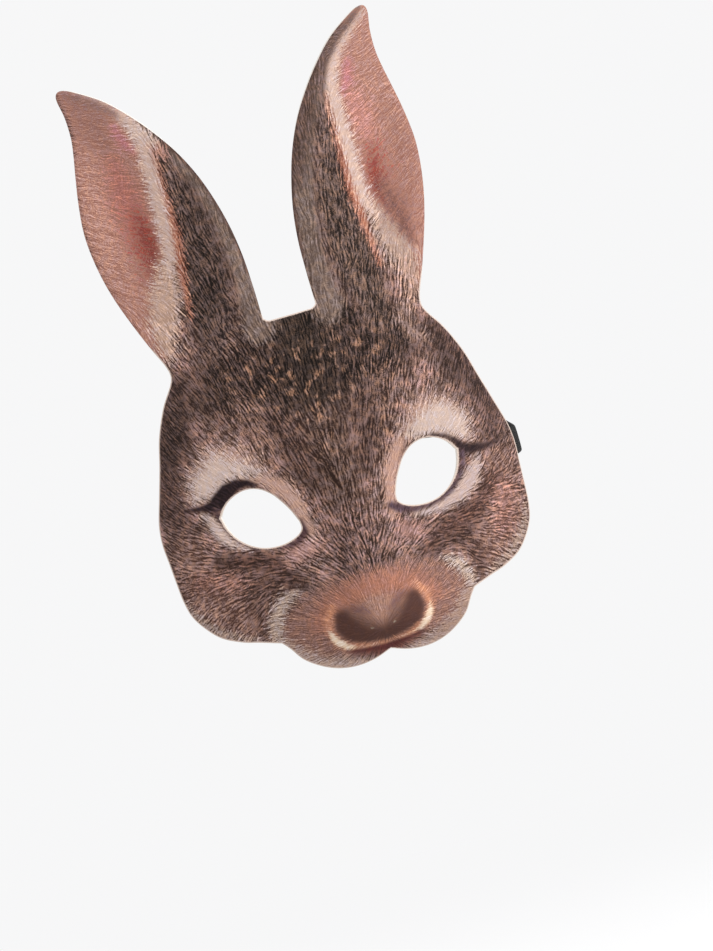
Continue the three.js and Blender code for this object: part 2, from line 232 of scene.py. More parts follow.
def smooth_line(points, step):
    """An even row of points, a step apart, on a smooth curve through the given ones: each stretch is a
    cubic whose slope at a point is half the way between its two neighbours."""
    p = np.vstack((points[0], points, points[-1]))
    t = np.linspace(0, 1, 24, endpoint=False)[None, :, None]
    a, b, c, d = (part[:, None] for part in (p[:-3], p[1:-2], p[2:-1], p[3:]))
    curve = b + (c - a) / 2 * t + (2 * a - 5 * b + 4 * c - d) / 2 * t**2 + (3 * b - a - 3 * c + d) / 2 * t**3
    curve = np.vstack((curve.reshape(-1, 2), points[-1]))
    run = np.concatenate(([0], np.cumsum(np.linalg.norm(np.diff(curve, axis=0), axis=1))))
    even = np.linspace(0, run[-1], int(np.ceil(run[-1] / step)) + 1)
    return np.column_stack((np.interp(even, run, curve[:, 0]), np.interp(even, run, curve[:, 1])))


def inside(points, loop):
    """Which points lie within a closed line: a level ray from each crosses it an odd number of times."""
    (x0, z0), (x1, z1) = loop.T, np.roll(loop, -1, 0).T
    crossings = np.zeros(len(points), int)
    for some in np.array_split(np.arange(len(points)), len(points) // 4000 + 1):
        x, z = points[some, 0, None], points[some, 1, None]
        straddles = (z0 > z) != (z1 > z)
        with np.errstate(divide="ignore", invalid="ignore"):
            meets = x0 + (z - z0) / (z1 - z0) * (x1 - x0) > x
        crossings[some] = (straddles & meets).sum(1)
    return crossings % 2 == 1


def nearest(points, marks):
    """The distance from each point to the nearest of the marks."""
    groups = np.array_split(points, len(points) // 2000 + 1)
    return np.concatenate([np.sqrt(((some[:, None] - marks) ** 2).sum(-1).min(1)) for some in groups])


def solid(name, front, back, faces, materials, attributes=()):
    """A closed piece from matching front and back points and the front's faces: the back has the same
    faces turned round, and a rim of quads joins the edges that only one face has. Materials go front, rim,
    back."""
    faces = np.asarray(faces)
    count = len(front)
    starts, ends = faces.ravel(), np.roll(faces, -1, 1).ravel()
    lone = ~np.isin(ends * count + starts, starts * count + ends)
    starts, ends = starts[lone], ends[lone]
    rim = np.column_stack((ends, starts, starts + count, ends + count))
    mesh = bpy.data.meshes.new(name)
    every_face = faces.tolist() + rim.tolist() + (faces[:, ::-1] + count).tolist()
    mesh.from_pydata((np.vstack((front, back)) / 1000).tolist(), [], every_face)
    finishes = np.repeat((0, 1, 2), (len(faces), len(rim), len(faces))).astype(np.int32)
    mesh.polygons.foreach_set("material_index", finishes)
    mesh.shade_smooth()
    mesh.set_sharp_from_angle(angle=0.9)
    for key, values in dict(attributes).items():
        kind, entry = ("FLOAT", "value") if values.ndim == 1 else ("FLOAT_VECTOR", "vector")
        both_sides = np.concatenate((values, values)).astype(np.float32)
        mesh.attributes.new(key, kind, "POINT").data.foreach_set(entry, both_sides.ravel())
    for material in materials:
        mesh.materials.append(material)
    piece = bpy.data.objects.new(name, mesh)
    bpy.context.collection.objects.link(piece)
    return piece


# The cut line and the eye holes. The right half of the cut line runs from the notch round the ear, the face
# and the lip, and is turned over for the left.
STEP = 0.75
turn = np.radians((90, 60, 30, 0))
rounding_out = NOTCH_HALF - NOTCH_ROUND * (1 - np.cos(turn))
rounding_up = BROW_HEIGHT + NOTCH_ROUND * (1 - np.sin(turn))
rounding = np.column_stack((rounding_out, rounding_up))
ear = np.array(EAR_EDGE) * (EAR_BREADTH, EAR_LENGTH) + (NOTCH_HALF, BROW_HEIGHT)
face_out, face_up = np.array(FACE_EDGE).T
face = np.column_stack((face_out * CHEEK_HALF, face_up * np.where(face_up > 0, BROW_HEIGHT, CHIN_DROP)))
corner = np.array(((MUZZLE_HALF, -MUZZLE_CORNER),))
lip = np.array(LIP_EDGE) * (MUZZLE_HALF, MUZZLE_CORNER - CHIN_DROP) - (0, MUZZLE_CORNER)
half = np.vstack((
    smooth_line(np.array(((0.0, BROW_HEIGHT), (NOTCH_HALF / 2, BROW_HEIGHT), rounding[0])), STEP)[:-1],
    smooth_line(np.vstack((rounding, ear, face, corner)), STEP)[:-1],
    smooth_line(np.vstack((corner, lip)), STEP),
))
cut_line = np.vstack((half[::-1], half[1:-1] * (-1, 1)))
lid = smooth_line(np.array(EYE_LID), STEP / EYE_HALF)
bag = smooth_line(np.array((EYE_LID[-1],) + EYE_BAG + (EYE_LID[0],)), STEP / EYE_HALF)
rim = np.vstack((lid[:-1], bag[:-1]))
eye_right = rim[::-1] * (EYE_HALF, EYE_HALF_HEIGHT) + (EYE_APART, 0)
eye_left = eye_right[::-1] * (-1, 1)
loops = (cut_line, eye_right, eye_left)
edge_points = np.vstack(loops)

# Rings of points close inside these lines, for the rolled edge
RING_GAPS = (0.25, 0.6, 1.15)
rings = []
for loop in loops:
    along = np.roll(loop, -1, 0) - np.roll(loop, 1, 0)
    inwards = np.column_stack((-along[:, 1], along[:, 0])) / np.linalg.norm(along, axis=1, keepdims=True)
    for gap in RING_GAPS:
        ring = loop + inwards * gap
        rings.append(ring[nearest(ring, edge_points) > gap * 0.9])
rings = np.vstack(rings)

# The rest of the sheet: an even grid in the flat cloth, with every other row shifted by half a step, so that
# its triangles are even too. It covers more than the mask and is cut to the lines.
GRID, GRID_GAP = 0.9, 1.6
FLAT_HALF, FLAT_LOW, FLAT_HIGH = 92, -68, 186
flat_x, z = np.meshgrid(np.arange(-FLAT_HALF, FLAT_HALF, GRID), np.arange(FLAT_LOW, FLAT_HIGH, GRID * 0.866))
flat_x = flat_x + np.where(np.arange(len(z)) % 2, GRID / 2, 0)[:, None]
grid = np.column_stack((WRAP_HALF * np.sin(flat_x / WRAP_HALF).ravel(), z.ravel()))
grid = grid[inside(grid, cut_line) & ~inside(grid, eye_right) & ~inside(grid, eye_left)]
grid = grid[nearest(grid, edge_points) > GRID_GAP]

# All points are joined into triangles that keep to the lines, and those in the holes are taken out
points = np.vstack((edge_points, rings, grid))
bounds = np.cumsum([0] + [len(loop) for loop in loops])
fences = []
for start, end in zip(bounds, bounds[1:]):
    fences += [(int(i), int(i + 1 if i + 1 < end else start)) for i in range(start, end)]
found, _, triangles, origins, _, _ = delaunay_2d_cdt(points.tolist(), fences, [], 1, 1e-6)
plan = np.array([tuple(point) for point in found])
triangles = np.array([tuple(triangle) for triangle in triangles])
is_edge = np.array([min(origin) < len(edge_points) for origin in origins])
doubtful = is_edge[triangles].all(1)
middles = plan[triangles].mean(1)
in_hole = inside(middles, eye_right) | inside(middles, eye_left) | ~inside(middles, cut_line)
triangles = triangles[~(doubtful & in_hole)]
x, z = plan.T
from_edge = np.where(is_edge, 0, nearest(plan, edge_points))

# What is printed, and some painted shade, as painted lines: rows of place out, place up and half width.
# Lines marked "both" are the same on both sides of the print, which sits a little askew on the cut mask, and
# the others are where they are on the mask. One marked "edge" is painted shade round the ears' cut edge,
# where the sheet rolls back. Each has the colours of its hair's roots and tips, and how soft and how ragged
# its edge is. Later lines lie over earlier ones.
PRINT = {
    "forehead": ("both", "#120b08", "#604b43", 7, 4, (
        (0, 60, 22), (14, 55, 22), (28, 54.5, 16), (40, 52, 7))),
    "crown": ("both", "#0d0806", "#483931", 8, 5, ((0, 72, 10), (0, 56, 10), (0, 38, 8), (0, 24, 3))),
    "bridge": ("both", "#231510", "#6f584e", 5, 3, ((0, 26, 8), (0, 10, 8), (0, -4, 6), (0, -14, 4))),
    "bridge_foot": ("both", "#211510", "#8f7067", 5, 4, ((0, -12, 6), (0, -20, 10), (0, -26, 11))),
    "tan": ("both", "#241611", "#8b6e63", 5, 4, ((19, 24, 4), (23, 34, 5.5), (30, 41, 3.5))),
    "bridge_side": ("both", "#1f130f", "#6c534a", 4, 3, (
        (20, 38, 2), (15.5, 27, 4.3), (13.5, 17, 4.3), (10.5, 7, 2.3))),
    "temple": ("both", "#271b18", "#6f554d", 5, 3, (
        (55, 56, 4), (60, 43, 6), (65, 28, 6.3), (67, 16, 5), (64, 2, 3.2))),
    "temple_left": ("left", "#1f1512", "#5f4a43", 5, 3, (
        (-48, 60, 2), (-54, 51, 6), (-57, 40, 6), (-61, 30, 3))),
    "temple_right": ("right", "#1f1512", "#5f4a43", 5, 3, (
        (51, 53, 0.5), (54, 43, 3.5), (57, 33, 3), (61, 26, 1))),
    "ear_edge": ("both", "#4b3c35", "#857268", 2.5, 2, (
        (14, 72, 6), (14, 90, 5), (15, 105, 5), (17, 120, 5), (21, 135, 5), (27, 149, 5.5),
        (35, 160, 6.5), (43, 169, 6), (53, 177, 5))),
    "ear_dusk": ("right", "#33261f", "#6f5850", 4, 3, (
        (18, 122, 1.5), (22, 138, 5), (29, 151, 5.5), (38, 163, 2.5))),
    # Painted shade along the ears' cut edge, where the sheet rolls back
    "ear_edge_shade": ("edge", "#3a2b26", "#654f46", 0.7, 0.3, ()),
    "ear_band": ("both", "#1f1614", "#80665c", 3, 3, (
        (33, 146, 1.5), (32, 139, 4), (30, 126, 6.5), (28.5, 110, 8), (28, 95, 9), (30, 82, 9),
        (32, 72, 7))),
    "ear_shade": ("left", "#17100d", "#665149", 3, 3, (
        (-25, 134, 1), (-23.5, 124, 2.5), (-24.5, 111, 5), (-28, 98, 8.5), (-31.5, 87, 8.5),
        (-34, 78, 4))),
    "ear_shade_right": ("right", "#1c1411", "#745d52", 3.5, 3, (
        (31, 128, 1), (28.5, 114, 5), (28.5, 98, 6), (31, 84, 7), (33, 70, 5), (34, 62, 3))),
    "ear_strand": ("right", "#5d473e", "#93796e", 3, 3, (
        (46, 65, 0.8), (42, 60, 2.2), (44, 54.5, 2), (49, 50, 0.8))),
    "ear_pink": ("both", "#84594d", "#b38b7d", 2, 2, (
        (61, 182, 6), (57, 175, 8.5), (53.5, 165, 11.5), (53.5, 150, 15.5), (54, 135, 17),
        (54, 120, 17), (54.5, 107, 14.5), (55, 95, 11.5), (56, 82, 5), (53, 72, 3))),
    "ear_glow": ("left", "#8b6155", "#bb9181", 4, 5, ((-60, 143, 2), (-61, 128, 5), (-62, 114, 3))),
    "ear_glow_right": ("right", "#92625a", "#c08b7e", 4, 5, (
        (47, 152, 2), (49.5, 143, 4.5), (51, 134, 2))),
    "ear_side": ("right", "#7c5247", "#a57f72", 4, 5, (
        (62, 140, 1), (63, 128, 4), (61.5, 116, 4.5), (59, 104, 3))),
    "ear_tip": ("left", "#7a5248", "#a07a6e", 4, 4, ((-58, 178, 4), (-54, 167, 6), (-51, 158, 3))),
    "ear_redness": ("left", "#85534a", "#b3786b", 4, 5, (
        (-46, 108, 1), (-47.5, 120, 5), (-49, 137, 5), (-49.5, 150, 2))),
    "ear_red": ("both", "#5f2b25", "#8f473d", 2.2, 7, (
        (49.5, 98, 0.8), (47.5, 104, 2.8), (46.5, 111, 3.6), (46.8, 117, 3.8), (47.8, 123, 1.8),
        (48.5, 128, -0.5))),
    "ear_blush": ("both", "#98595c", "#b88382", 2, 2.5, ((42.5, 152, 0.8), (46, 157, 2), (48, 163, 1.2))),
    "ear_fringe": ("both", "#86503f", "#b07a63", 1.5, 1.8, (
        (36.6, 153, 1.2), (37.2, 140, 2.2), (37.1, 128, 2.5), (36.8, 115, 2.7), (37.6, 103, 1.9),
        (38.2, 93, 1), (38.7, 83, 0.2))),
    "ear_cream": ("both", "#8d7366", "#b1998d", 3, 4, (
        (42.5, 105, 3.3), (46, 95, 5.8), (49, 85, 5.5), (50.5, 77, 3.3), (51, 70, 0.8))),
    "ear_cream_left": ("left", "#9a7d6d", "#bda192", 3, 2.5, (
        (-41.5, 107, 1.8), (-44.5, 96, 3.8), (-47.8, 85, 4.8), (-49.5, 77, 3), (-50.5, 71, 0.6))),
    "ear_streak": ("right", "#4e3430", "#7f5a50", 1.8, 6, (
        (50.8, 112, 1.4), (53, 104, 2.8), (54.5, 95, 2.5), (56, 88, 0.4))),
    "ear_foot": ("right", "#896c5e", "#b79687", 3, 4, (
        (50.5, 80, 1.8), (51, 75, 2.6), (49.6, 70, 2.3), (47.5, 65, 0.6))),
    "ear_stripe": ("both", "#ad9286", "#c2aa9e", 1.8, 1.7, (
        (59, 181.5, 1), (52, 176, 2), (45, 169.5, 2.4), (41.3, 163, 2.6), (38.9, 154, 2.8),
        (39.1, 140, 2.8), (39.5, 128, 2.8), (39.6, 118, 2.7), (40.4, 109, 2.5), (42, 103, 1.5))),
    "ear_top": ("left", "#8e6558", "#b98f81", 1.5, 3, (
        (-34, 154, 1.8), (-30.8, 149.8, 2.2), (-29, 146, 0.5))),
    "ear_top_light": ("left", "#ab9186", "#ccb7ab", 1.8, 3, (
        (-39, 161, 1.5), (-36, 157.5, 2.6), (-33, 153.5, 1.6))),
    # Painted shade along the right ear's upper edge, where the sheet rolls back
    "upper_ear_shade": ("right", "#45342d", "#78615a", 1.2, 2, (
        (35, 148, 0), (36.5, 154, 1), (38.3, 160, 1.8), (41, 165.3, 1.9), (48.2, 173.3, 1.9),
        (57.8, 180.1, 1.3), (61, 182.6, 0.6))),
    # Painted shade along the left ear's upper edge, where the sheet rolls back
    "upper_ear_shade_left": ("left", "#6d4f46", "#967670", 1.5, 3, (
        (-43.5, 168.5, 1), (-49, 173.5, 2.2), (-56, 179, 2), (-61, 182.5, 1))),
    "cheek": ("both", "#482f27", "#9c7c70", 6, 3, ((64, -6, 6), (61, -26, 10), (50, -38, 7))),
    "under_eye": ("left", "#261915", "#674b42", 3, 3, (
        (-55, -12.5, 0.8), (-47, -14.5, 3), (-39, -16.5, 3.5), (-33, -19, 3.5), (-30, -25, 3),
        (-25, -29.5, 1))),
    "cheek_shade": ("left", "#2a1c18", "#6e534a", 4, 3, (
        (-50, -20, 1.5), (-43, -25, 4.2), (-37, -26, 4.2), (-31, -27, 2))),
    "under_eye_right": ("right", "#33221e", "#745449", 3, 3, (
        (61, -11, 2), (51, -19, 3), (41, -23, 4), (31, -26, 3), (24, -30, 2))),
    "cheek_shade_right": ("right", "#2a1c18", "#6e534a", 4, 3, (
        (47, -26, 0.5), (39, -29, 3), (32, -28.5, 3.5), (27, -31, 1.5))),
    "whisker_shade": ("both", "#2e1f1a", "#7a5d53", 3, 3, (
        (42, -30, 1), (44, -36, 2.3), (44.5, -42, 1.8))),
    "cheek_glow": ("left", "#50362e", "#a67c6f", 4, 3, ((-62, -18, 3), (-50, -22, 3))),
    "cheek_glow_right": ("right", "#553a31", "#b08478", 4, 3, ((63, -17, 3.5), (58, -28, 3.5))),
    "cheek_rim": ("both", "#7d685d", "#ab958a", 1.5, 2, (
        (70.5, -24, 0), (68.5, -29.5, 0.9), (65.5, -34.2, 1.4), (60.5, -39.2, 1.3), (54, -43, 1),
        (47, -45.6, 0.3))),
    "mauve": ("left", "#8c6961", "#ae8b83", 3, 3, ((-24.2, -17.5, 3.5), (-18, -16, 2.5))),
    "mauve_right": ("right", "#7a5b53", "#a7837b", 3, 3, ((18.7, -20, 3.8), (24, -21.5, 3.2))),
    "nose_side": ("left", "#9c7b6e", "#c4a292", 2.2, 2.5, (
        (-33, 16.5, 0.6), (-28, 14, 2.6), (-22.4, 8.5, 3.5), (-19.4, 3, 3.1), (-17.5, -6, 2),
        (-16, -12, 1))),
    "nose_side_right": ("right", "#967467", "#bc9989", 2.2, 2.5, (
        (31.5, 16.5, 0.7), (26.6, 13, 2.4), (22.3, 7.5, 3), (19, 0, 2.8), (17, -8, 2.2),
        (16, -13, 0.8))),
    "brow": ("left", "#86675a", "#bd9f93", 3, 4, (
        (-27, 17.5, 0.5), (-31, 21, 2.5), (-37, 24.5, 5.7), (-44, 25.5, 7), (-51, 20.5, 5.5),
        (-55.5, 15.7, 2.2))),
    "brow_heart": ("left", "#b29b90", "#c9b5ac", 3, 4, (
        (-31, 17.5, 1), (-37, 20.7, 3.2), (-44.5, 22.5, 5.8), (-51, 18, 5.2), (-55, 14.3, 1.6))),
    "brow_right": ("right", "#86675a", "#b99b8f", 3, 4, (
        (28, 15, 0.5), (32, 18, 3.5), (40, 21.5, 6.5), (46.5, 20, 6.8), (51.5, 14, 5.7),
        (54.4, 8.5, 2.2))),
    "brow_heart_right": ("right", "#ab958a", "#c1aea5", 2.5, 3.5, (
        (30, 15.5, 0.5), (34, 16, 2.8), (39, 17.5, 4.7), (45, 18.3, 6.2), (50, 14.5, 5.3),
        (53.4, 9.4, 1.5))),
    "eye_white": ("left", "#a48d83", "#c9b6ae", 1.4, 1.8, (
        (-55.5, 8.3, 0), (-53.6, 6, 0.9), (-51.9, 3, 1.7), (-50.9, 0, 2.2), (-49.7, -3, 2.1),
        (-47.6, -5.8, 1.5), (-44.5, -8.3, 0.8), (-41, -10.3, 0))),
    "eye_white_right": ("right", "#a08981", "#b9a59e", 1.6, 2, (
        (56, 0.2, 0), (54.2, -3.4, 1.8), (50.7, -8, 3.1), (45, -12.3, 2.8), (38, -14.7, 1.9),
        (31, -15.7, 1.3), (25, -15.3, 0.6))),
    "eye_line": ("left", "#1a1112", "#322427", 0.8, 0.8, (
        (-61, 10.6, 0.3), (-55, 9.9, 1), (-50, 9.3, 2.2), (-47.5, 10.5, 3.2), (-43.5, 13.7, 2.9),
        (-39, 15.2, 1.9), (-35, 14.6, 1.1), (-31.5, 12.8, 0.4))),
    "eye_line_low": ("left", "#352528", "#54403f", 1, 0.8, (
        (-49.8, 7.5, 1.4), (-48.7, 3.5, 0.6), (-47.7, -0.5, 0.2), (-45, -5.8, 0.2), (-39, -11, 0.4))),
    "eye_corner": ("left", "#3b272a", "#5a4345", 1.2, 0.8, (
        (-19, -5, 0.5), (-18.8, -10, 1.5), (-23, -13, 1), (-29, -13.6, 0.5))),
    "eye_line_right": ("right", "#21171a", "#42312f", 1, 0.9, (
        (66, 3.2, 0.3), (60, 2.4, 1), (54, 3, 1.9), (50.5, 4.5, 1.7), (48.6, 8, 0.9), (45, 10.8, 0.6),
        (40, 12.6, 0.4))),
    "eye_corner_right": ("right", "#35262c", "#5b474c", 1.1, 0.9, (
        (50, 2.5, 1.2), (48.7, -2, 0.9), (45.5, -6.6, 0.8), (41.4, -10.2, 0.8), (36.6, -12.4, 0.7),
        (31, -13.6, 0.6), (25, -13.4, 1), (20, -11.5, 1.7), (16.5, -9.5, 1.4))),
    "muzzle": ("both", "#5d4038", "#a07a6c", 3, 2, ((0, -46, 15), (15, -46, 15), (26, -48.5, 12.5))),
    "muzzle_glow": ("both", "#7d5242", "#a67564", 4, 2, (
        (0, -37, 5), (10, -38, 4.5), (18, -41, 4), (23, -46, 3))),
    "lip": ("both", "#8d7467", "#b8a298", 3, 3, (
        (4, -65, 1), (12, -65.5, 2.6), (22, -63.5, 3.2), (30, -59.5, 3.2), (37, -52, 2.6),
        (39.5, -47, 1))),
    "lip_right": ("right", "#7b6154", "#a58b7f", 2.5, 3, (
        (20, -62.5, 1), (27, -60, 2.6), (33, -55.5, 2.6), (37, -50, 1.5))),
    "whiskers": ("left", "#8c7567", "#c3b0a5", 2, 3, (
        (-28, -31, 0), (-32.5, -32.7, 1.5), (-36.5, -36, 2.1), (-39.2, -40.5, 2.1), (-40.5, -45, 1.8),
        (-41, -50, 1.2))),
    "whiskers_right": ("right", "#8f796b", "#c4b2a7", 2, 3, (
        (29.5, -34.5, -0.8), (32.5, -35.7, 1), (35.4, -38.2, 1.8), (37.8, -42, 2), (38.9, -46.5, 0.8),
        (39.2, -50, -0.5))),
    "mouth": ("both", "#472725", "#74493f", 2.5, 1.5, ((0, -63, 3), (7, -61.3, 1.4), (13, -60, 0.8))),
    "nose_pad": ("both", "#7a594d", "#a58171", 3, 3, ((0, -44.5, 4), (6, -45.5, 3), (0, -48, 4))),
    "pad_flecks": ("both", "#55393a", "#7a5a56", 1, 3, (
        (4, -46.5, 0.1), (7, -44.5, 1.1), (10, -43.2, 0.6))),
    "nostrils_soft": ("both", "#553c33", "#705248", 3, 2, (
        (12, -46.2, 2.7), (9.5, -49.7, 4.5), (5, -53.4, 4), (0, -55.2, 3.2))),
    "nostrils": ("both", "#432b25", "#4f352e", 1.8, 1, (
        (14.5, -45.6, 2.9), (14, -49, 4), (11.5, -52.2, 4.2), (7, -54.9, 3), (0, -56, 2.4))),
    "nose_rim": ("both", "#a06a50", "#c08c71", 1.5, 0.8, (
        (17, -40.5, 1), (19.7, -45, 1.4), (20.2, -50, 1.3), (17.6, -55.4, 1.4), (11, -57.9, 0.8),
        (5, -58.7, 0.5), (0, -59.2, 0.3))),
    "nose_light": ("both", "#cbb39b", "#dac8b1", 0.9, 0.6, (
        (20.3, -49.6, 0.3), (19.4, -52.4, 1.1), (17.4, -55.2, 1.3), (14.4, -57.3, 0.8),
        (11, -58.2, -0.2), (4, -58.9, -0.5), (0, -59.2, -0.6))),
    "lip_line": ("both", "#45201d", "#5a2e2b", 0.7, 0.4, (
        (16, -58.9, 0.2), (9, -60, 0.6), (4, -60.6, 0.9), (0, -61, 1.2))),
    "glint": ("both", "#958a7c", "#b5ab9b", 0.4, 0, ((4.8, -52.1, 0.3), (3.8, -52.6, 0))),
}


def painted(x, z, rows):
    """How far inside a painted line the points lie: its half width at the nearest place on it, less the
    distance to that place. It is negative outside the line."""
    deepest = np.full(x.shape, -99.0)
    for (x0, z0, w0), (x1, z1, w1) in zip(rows, rows[1:]):
        squared = (x1 - x0) ** 2 + (z1 - z0) ** 2
        share = np.clip(((x - x0) * (x1 - x0) + (z - z0) * (z1 - z0)) / squared, 0, 1)
        away_from = np.hypot(x - x0 - (x1 - x0) * share, z - z0 - (z1 - z0) * share)
        deepest = np.maximum(deepest, w0 + (w1 - w0) * share - away_from)
    return np.maximum(deepest, -20)


# The print's own places: it is shifted, and turned a little about a point at the nose
PRINT_SHIFT, PRINT_TURN, PRINT_PIVOT = 0.8, 0.0156, -50
print_x = x + PRINT_SHIFT - PRINT_TURN * (z - PRINT_PIVOT)
print_out = np.abs(print_x)
# How far in from the ears' cut edge the painted shade reaches, in millimetres
EAR_EDGE_SHADE = 1.1
fields = {}
# The line marked "edge" is painted shade, measured in from the ears' cut edge, and it fades out below the
# ears
for name, (where, *_, rows) in PRINT.items():
    if where == "edge":
        fields[name] = EAR_EDGE_SHADE - from_edge - 20 * (1 - ease(70, 96, z))
    else:
        fields[name] = painted(print_out if where == "both" else x, z, rows)

# The lie of the hair, worked out for the right side and turned over for the left: it stands up away from the
# nose, fans out over the brows, lies across the cheeks, and rises aslant across the pink of the ears.
ASLANT = np.array(((0.83, -0.56), (0.56, 0.83)))
on_brow = ease(-6, 2, np.where(x > 0, fields["brow_right"], fields["brow"]))
in_ear = ease(84, 100, z) * ease(36, 42, print_out)
on_muzzle = ease(1.12, 0.86, np.hypot(print_out / 43, np.maximum(z + 46, 0) / 18))
on_cheek = ease(24, 42, print_out) * (1 - ease(28, 48, z)) * (1 - on_muzzle)
lie = np.column_stack((print_out, z + 37))
far = np.linalg.norm(lie, axis=1)
lie = lie / np.maximum(far, 1)[:, None] * ease(2, 14, far)[:, None]
other_lies = (
    (on_cheek, (1.0, 0.028 * (z + 20))),
    (on_muzzle, (print_out, z + 54)),
    (on_brow, (print_out - 20, z + 6)),
    (in_ear, (1.0, 0.5 - 0.25 * ease(110, 170, z))),
)
for share, turned_to in other_lies:
    other = np.column_stack(np.broadcast_arrays(*turned_to, x)[:2])
    lie = lie * (1 - share)[:, None] + other / np.linalg.norm(other, axis=1, keepdims=True) * share[:, None]
lie[:, 0] *= np.sign(print_x)
# The flat cloth and the lie are turned together, so that the grid of the noise doesn't run along the hair
flat = np.column_stack((WRAP_HALF * np.arcsin(x / WRAP_HALF), z))
fields["lie"] = np.column_stack((lie @ ASLANT, 0 * x))
fields["cloth"] = np.column_stack((flat @ ASLANT, 0 * x))
fields["from_edge"] = from_edge + ease(73, 82, z)

# How coarse the hair is, how much broad streaks show in it, and how much it is flecked with tan
PALE_LINES = ("eye_white", "eye_white_right", "whiskers", "whiskers_right", "nose_side", "nose_side_right")
on_pale = ease(-3, 2, np.maximum.reduce([fields[name] for name in PALE_LINES]))
on_pale = np.maximum(on_brow, on_pale)
beside_notch = ease(-3, 2, fields["ear_edge"])
in_streaks = np.maximum(in_ear * (1 - 0.7 * ease(145, 175, z)), 0.5 * np.maximum(on_muzzle, on_brow))
fields["coarse"] = (1 - 0.8 * on_muzzle) * (1 - in_ear) * (1 - 0.75 * on_pale) * (1 - 0.25 * beside_notch)
fields["streaked"] = in_streaks * ease(-2, 4, -fields["nostrils_soft"])
fields["flecked"] = ease(8, 20, z) * (1 - ease(58, 70, z)) * (1 - ease(26, 40, print_out))


def paint(code):
    """A colour written as on a paint card, turned into the amounts of light that Blender uses."""
    value = np.array([int(code[i : i + 2], 16) for i in (1, 3, 5)]) / 255
    light = np.where(value < 0.04045, value / 12.92, ((value + 0.055) / 1.055) ** 2.4)
    return (*light, 1)


def field(tree, name):
    """A piece's own field, by its name."""
    return put(tree, "ShaderNodeAttribute", {}, attribute_name=name)


def blend(tree, share, one, other):
    """One colour turning into another as share goes from 0 to 1."""
    return put(tree, "ShaderNodeMix", {0: share, 6: one, 7: other}, data_type="RGBA").outputs[2]


def noise(tree, place, size, detail=2):
    """Cloudy noise with blotches of about the given size."""
    inputs = {"Vector": place, "Scale": 1 / size, "Detail": detail}
    return put(tree, "ShaderNodeTexNoise", inputs, noise_dimensions="2D")


def combed(tree, place, lie, width, length, samples):
    """Hair: noise as fine as the hair's width, smeared along the lie of the hair by taking the mean of
    samples at even steps over the hair's length."""
    total = 0.0
    for share in np.linspace(-0.5, 0.5, samples):
        terms = {0: lie, 1: (share * length,) * 3, 2: place}
        step = put(tree, "ShaderNodeVectorMath", terms, operation="MULTIPLY_ADD")
        total = reckon(tree, "ADD", total, noise(tree, step.outputs[0], width, 0).outputs[0])
    return reckon(tree, "DIVIDE", total, float(samples))


# Width and length of fine hair, coarse hair and broad streaks, and the samples along each
FINE_HAIR, COARSE_HAIR, STREAK, SAMPLES = (0.42, 2.3), (0.72, 3.4), (1.3, 8), 7
fur, tree, shader = finish("printed_fur")
cloth_place = field(tree, "cloth").outputs["Vector"]
coarse = field(tree, "coarse").outputs["Fac"]

# The hair wanders from its lie, in wide sweeps and in short ones
hair_lie = field(tree, "lie").outputs["Vector"]
for size, detail, much in ((11, 2, 0.8), (2.2, 0, 0.85)):
    cloudy = noise(tree, cloth_place, size, detail).outputs["Color"]
    swirl = put(tree, "ShaderNodeVectorMath", {0: cloudy, 1: (0.5,) * 3}, operation="SUBTRACT").outputs[0]
    terms = {0: swirl, 1: (much, much, 0), 2: hair_lie}
    hair_lie = put(tree, "ShaderNodeVectorMath", terms, operation="MULTIPLY_ADD").outputs[0]
fine = combed(tree, cloth_place, hair_lie, *FINE_HAIR, SAMPLES)
broad = combed(tree, cloth_place, hair_lie, *COARSE_HAIR, SAMPLES)
hair = put(tree, "ShaderNodeMix", {0: coarse, 2: fine, 3: broad}).outputs[0]
streaks = reckon(tree, "SUBTRACT", combed(tree, cloth_place, hair_lie, *STREAK, SAMPLES), 0.5)
streaks = reckon(tree, "MULTIPLY", streaks, field(tree, "streaked").outputs["Fac"])
hair = reckon(tree, "MULTIPLY_ADD", streaks, 0.6, hair)

# How far single hairs carry the edge of a painted line, in millimetres for each step of raggedness
edge_wander = reckon(tree, "SUBTRACT", reckon(tree, "MULTIPLY_ADD", streaks, 0.35, hair), 0.5)
edge_wander = reckon(tree, "MULTIPLY", edge_wander, 7.0)

# Coarse hair also lies in clumps and in darker and lighter patches
patches = noise(tree, cloth_place, 8).outputs[0]
for cloudy, much in ((noise(tree, cloth_place, 2.8, 1).outputs[0], 0.14), (patches, 0.16)):
    clumped = reckon(tree, "MULTIPLY", reckon(tree, "SUBTRACT", cloudy, 0.5), coarse)
    hair = reckon(tree, "MULTIPLY_ADD", clumped, much, hair)

# The painted lines colour the roots and the tips in turn. Tan flecks go on after the line called "tan".
tip_share = ramp(tree, hair, 0.405, 0.63)
bright_tips = reckon(tree, "MULTIPLY_ADD", ramp(tree, hair, 0.55, 0.66), 0.35, 1.0)
root_colour = paint("#33211b")
tip_colour = blend(tree, ramp(tree, patches, 0.42, 0.62), paint("#94796f"), paint("#a78378"))
for name, (_, roots, tips, soft, ragged, _) in PRINT.items():
    wander = reckon(tree, "MULTIPLY_ADD", edge_wander, float(ragged), field(tree, name).outputs["Fac"])
    share = ramp(tree, wander, -float(soft), float(soft))
    root_colour = blend(tree, share, root_colour, paint(roots))
    tip_colour = blend(tree, share, tip_colour, paint(tips))
    if name == "tan":
        flecks = ramp(tree, noise(tree, cloth_place, 4, 1).outputs[0], 0.57, 0.68)
        flecks = reckon(tree, "MULTIPLY", flecks, field(tree, "flecked").outputs["Fac"])
        tip_colour = blend(tree, reckon(tree, "MULTIPLY", flecks, 0.6), tip_colour, paint("#a07a64"))

